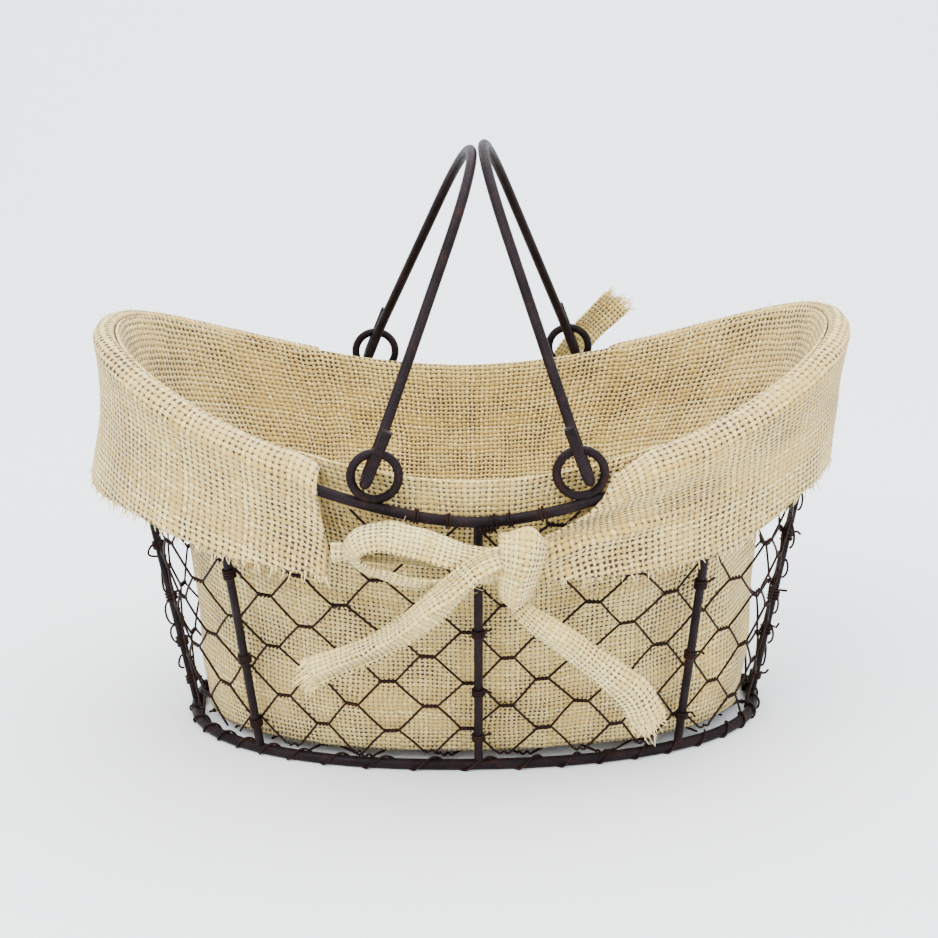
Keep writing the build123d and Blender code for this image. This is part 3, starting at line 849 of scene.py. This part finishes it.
def cuff(hand):
    """A cuff from inside the fold, over the rim and down to its hem, between its two notches."""
    shape = CUFFS[hand]
    side = -1 if hand == "left" else 1
    fold_rows = BEND_ROWS + ARCH_ROWS
    points, angles = [], []
    for row in range(fold_rows + FALL_ROWS):
        fall = max(0.0, (row - fold_rows + 1) / FALL_ROWS)
        angle = np.linspace(*notch_angles(shape, side, min(row / fold_rows, 1.0), fall), CUFF_COLUMNS)
        points.append(fold_row(angle, row) if fall == 0 else fall_row(shape, angle, fall))
        angles.append(angle)
    points, angles = np.array(points), np.array(angles)

    fall = np.clip((np.arange(len(points)) - fold_rows + 1) / FALL_ROWS, 0, 1)[:, None]
    moved = soft_noise(points * (1, 1, 0.35), 40.0, 6 + side) * CUFF_WAVE * fall
    moved += soft_noise(points, 15.0, 9) * CUFF_RIPPLE * fall**0.5
    if side > 0:
        moved += gathered(points) * np.clip(fall * 4, 0, 1)
    moved = np.maximum(moved, -0.4 - 2.2 * fall)
    points[..., :2] += outward_of(points) * moved[..., None]
    points[..., 2] += soft_noise(points * (1, 1, 0.2), 22.0, 12) * HEM_WAVE * fall**2

    around = way_round(np.mod(angles, 360))
    if side > 0:
        around = np.where(around > WALL_LAP / 2, around - WALL_LAP, around)
    down = np.zeros(around.shape)
    down[1:] = np.cumsum(np.abs(np.diff(points, axis=0)) @ (0.35, 0.35, 0.93), axis=0)
    uv = np.stack([around, down], -1) / PITCH
    replaces = shape["replaces"]
    cloth(f"cuff_{hand}_cloth", points, burlap, replaces, uv)
    return points


left_cuff = cuff("left")
right_cuff = cuff("right")

# ---------------------------------------------------------------- ties
# the ties' threads lie closer than the liner's across and along, because the strips are bunched
TIE_GATHER, TIE_CREEP = 1.35, 1.08
TIE_RIPPLE = 0.8
TIE_COLUMNS = 25
KNOT_TURN = np.radians(np.linspace(-105, 262, 16))
KNOT_WIDTHS = 15.5 + 4.5 * np.sin(KNOT_TURN + 0.25)
UP, DOWN, RIGHT = (0, 0, 1), (0, 0, -1), (1, 0, 0)


def smooth_line(points, count):
    """A smooth line through points (Catmull-Rom)."""
    points = np.asarray(points, float)
    padded = np.vstack([2 * points[0] - points[1], points, 2 * points[-1] - points[-2]])
    places = np.linspace(0, len(points) - 1, count)
    spans = np.minimum(places.astype(int), len(points) - 2)
    t = (places - spans)[:, None]
    a, b, c, d = (padded[spans + k] for k in range(4))
    square = (2 * a - 5 * b + 4 * c - d) * t**2
    return 0.5 * (2 * b + (c - a) * t + square + (3 * b - a - 3 * c + d) * t**3)


def wrapped(aside, depth, height, middle):
    """The route of a strip wrapped once about the ties."""
    route = [aside * np.sin(KNOT_TURN), depth * np.cos(KNOT_TURN), height * np.sin(KNOT_TURN)]
    return np.stack(route, -1) + middle


def ribbon(
    name, path, widths, sides, replaces, seed,
    pleats=1.5, depth=1.1, curl=2.6, count=70,
):
    """A pleated strip along a path, with its width and its width's direction given along it.

    Its edges curl back by curl, and its pleats are depth high.
    """
    line = smooth_line(path, count)
    width = smooth_line(np.outer(widths, RIGHT), count)[:, 0]
    side = smooth_line(sides, count)
    along = np.gradient(line, axis=0)
    along /= np.linalg.norm(along, axis=1)[:, None]
    side -= along * (side * along).sum(1)[:, None]
    side /= np.linalg.norm(side, axis=1)[:, None]
    face = np.cross(along, side)
    across = np.linspace(-0.5, 0.5, TIE_COLUMNS)
    wander = 0.5 * np.sin(np.linspace(0, 5, count) + seed)[:, None]
    fold = depth * np.cos(2 * np.pi * pleats * across[None, :] + wander)
    fold = fold - curl * np.abs(2 * across[None, :]) ** 3
    fold *= (width / max(widths))[:, None] ** 0.5
    points = line[:, None] + side[:, None] * (width[:, None] * across)[..., None]
    points += face[:, None] * fold[..., None]
    points += face[:, None] * (soft_noise(points, 10.0, seed) * TIE_RIPPLE)[..., None]
    points += side[:, None] * (soft_noise(points, 13.0, seed + 1) * TIE_RIPPLE)[..., None]
    over, down = lengths_to(points, 1) * TIE_GATHER, lengths_to(points, 0) * TIE_CREEP
    uv = np.stack(np.meshgrid(over, down), -1) / PITCH + seed
    cloth(name, points, tie_burlap, [replaces], uv, thick=1.3)
    return points


knot = ribbon(
    "knot_front_cloth",
    path=wrapped(2.6, -6.3, 16.5, (16.5, -112.6, 108.0)),
    widths=KNOT_WIDTHS,
    sides=[(-1, 0, 0.16)] * len(KNOT_TURN),
    replaces="knot_front",
    seed=31,
    depth=1.0,
    curl=5.0,
)
tail_left = ribbon(
    "tail_front_left_cloth",
    path=[
        (12, -113, 110), (3, -118, 110), (-12, -120.5, 99.5),
        (-29, -118.5, 85.3), (-46.5, -115.5, 73.6), (-69, -112.5, 63),
    ],
    widths=[12, 14, 13.5, 12, 11.5, 13],
    sides=[
        (-0.2, 0, -1), (-0.3, 0.1, -1), (-0.5, 0.1, -1),
        (-0.5, 0, -1), (-0.45, 0, -1), (-0.3, 0, -1),
    ],
    replaces="tail_front_left",
    seed=41,
    depth=1.9,
    curl=3.4,
)
tail_right = ribbon(
    "tail_front_right_cloth",
    path=[
        (15, -113, 93), (20, -114.5, 88), (30.5, -115.5, 80),
        (46, -115, 68), (63, -112.5, 52), (70, -110, 38),
    ],
    widths=[8, 9, 11, 12.5, 15, 16],
    sides=[(1, 0, 0.9)] * 5 + [(1, 0, 0.4)],
    replaces="tail_front_right",
    seed=51,
    pleats=1.0,
    depth=0.7,
    curl=1.6,
)
loop = ribbon(
    "bow_loop_cloth",
    path=[
        (13, -111, 110), (2, -112, 111.5), (-10, -113, 114.5), (-24, -113.5, 120),
        (-37, -113.5, 123), (-48, -113, 121), (-52, -112.5, 115), (-47, -112.5, 108.7),
        (-37, -113, 105), (-24, -113, 101.8), (-10, -112.5, 102), (13, -111, 104),
    ],
    widths=[9, 11, 13, 15, 15.5, 15, 14, 13, 12.5, 12, 11, 9],
    sides=[
        (0, -0.6, -0.8), (0, -0.65, -0.75), (0, -0.7, -0.7), (0, -0.75, -0.62),
        (0.1, -0.8, -0.55), (0.3, -0.85, -0.3), (0.4, -0.9, 0.05), (0.2, -0.88, 0.35),
        (0, -0.85, 0.5), (0, -0.85, 0.5), (0, -0.85, 0.5), (0, -0.85, 0.5),
    ],
    replaces="bow_loop_front",
    seed=61,
    pleats=0.5,
    depth=0.5,
    curl=1.2,
    count=110,
)
ribbon(
    "tie_band_front_left_cloth",
    path=[(-60, -105.5, 113), (-40, -106.5, 113), (-14, -107.5, 111), (12, -110, 108)],
    widths=[8, 8, 9, 9],
    sides=[UP] * 4,
    replaces="tie_band_front_left",
    seed=71,
    depth=0.8,
)
ribbon(
    "knot_back_cloth",
    path=wrapped(1.5, 6.3, 15.5, (34, 113.0, 112)),
    widths=KNOT_WIDTHS,
    sides=[(1, 0, 0.1)] * len(KNOT_TURN),
    replaces="knot_back",
    seed=81,
    depth=1.0,
    curl=5.0,
)
tail_up = ribbon(
    "tail_back_up_cloth",
    path=[(36, 113, 118), (46, 114.5, 132), (58, 113, 149), (74, 109, 167)],
    widths=[9, 12, 13, 15],
    sides=[(1, 0, -0.75)] * 4,
    replaces="tail_back_up",
    seed=91,
    pleats=1.0,
    depth=0.7,
    curl=1.4,
)
tail_down = ribbon(
    "tail_back_down_cloth",
    path=[(33, 114, 100), (29, 115.5, 84), (22, 115, 66), (13, 113, 46)],
    widths=[9, 12, 13, 14],
    sides=[(-1, 0, 0.3)] * 4,
    replaces="tail_back_down",
    seed=101,
    pleats=1.0,
    depth=0.7,
    curl=1.6,
)
ribbon(
    "tie_band_back_left_cloth",
    path=[(-72, 107, 110), (-34, 109, 112), (0, 110, 112), (30, 111, 112)],
    widths=[22, 16, 13, 10],
    sides=[DOWN] * 4,
    replaces="tie_band_back_left",
    seed=111,
)

# ---------------------------------------------------------------- loose threads
FRAY_RADII = np.array([0.34, 0.32, 0.28, 0.2, 0.12])
FUZZ_RADII = np.array([0.10, 0.09, 0.08, 0.05])
HEM_THREADS, HEM_THREAD_LENGTH = 190, 3.4
END_THREAD_LENGTH = 6.0
CUFF_FIBRES = 420


def any_way():
    """A random direction, not of one length."""
    return np.array([random.uniform(-1, 1) for _ in range(3)])


def fray(edge, inner, count, length, spread):
    """Loose threads that leave a cloth's edge, away from the row of points just inside it."""
    made = []
    for _ in range(count):
        k = random.randrange(len(edge) - 1)
        start = edge[k] + (edge[k + 1] - edge[k]) * random.random()
        away = edge[k] - inner[k]
        away = away / max(np.linalg.norm(away), 1e-6)
        reach = random.uniform(0.35, 1.0) * length
        drift = any_way() * spread + (0, 0, -0.25)
        line = [start - away * 1.2]
        line += [start + away * reach * s + drift * reach * s * s for s in (0.15, 0.4, 0.7, 1.0)]
        made.append(tube(line, FRAY_RADII, 5))
    return made


def fuzz(points, count):
    """Fine curled fibres that stand off a cloth's face."""
    made = []
    normal = normals(points)
    for _ in range(count):
        row, column = random.randrange(points.shape[0]), random.randrange(points.shape[1])
        out = normal[row, column] * random.choice((-1, 1))
        lie = any_way()
        reach = random.uniform(1.5, 4.5)
        curl = any_way()
        line = []
        for s in (0, 0.33, 0.66, 1.0):
            lift = out * (0.5 + 1.6 * np.sin(2.6 * s))
            line.append(points[row, column] + lift + lie * reach * s + curl * reach * 0.5 * s * s)
        made.append(tube(line, FUZZ_RADII, 3))
    return made


threads = []
for points in (left_cuff, right_cuff):
    threads += fray(points[-1], points[-2], HEM_THREADS, HEM_THREAD_LENGTH, 0.5)
for points, count in ((tail_left, 46), (tail_right, 44), (tail_up, 40), (tail_down, 30)):
    threads += fray(points[-1], points[-3], count, END_THREAD_LENGTH, 0.6)
for points in (left_cuff, right_cuff):
    threads += fuzz(points, CUFF_FIBRES)
for points, count in ((tail_left, 70), (tail_right, 70), (loop, 80), (knot, 50)):
    threads += fuzz(points, count)
verts, faces = joined(threads)
finish_piece("frayed_threads", verts, faces, fibre)
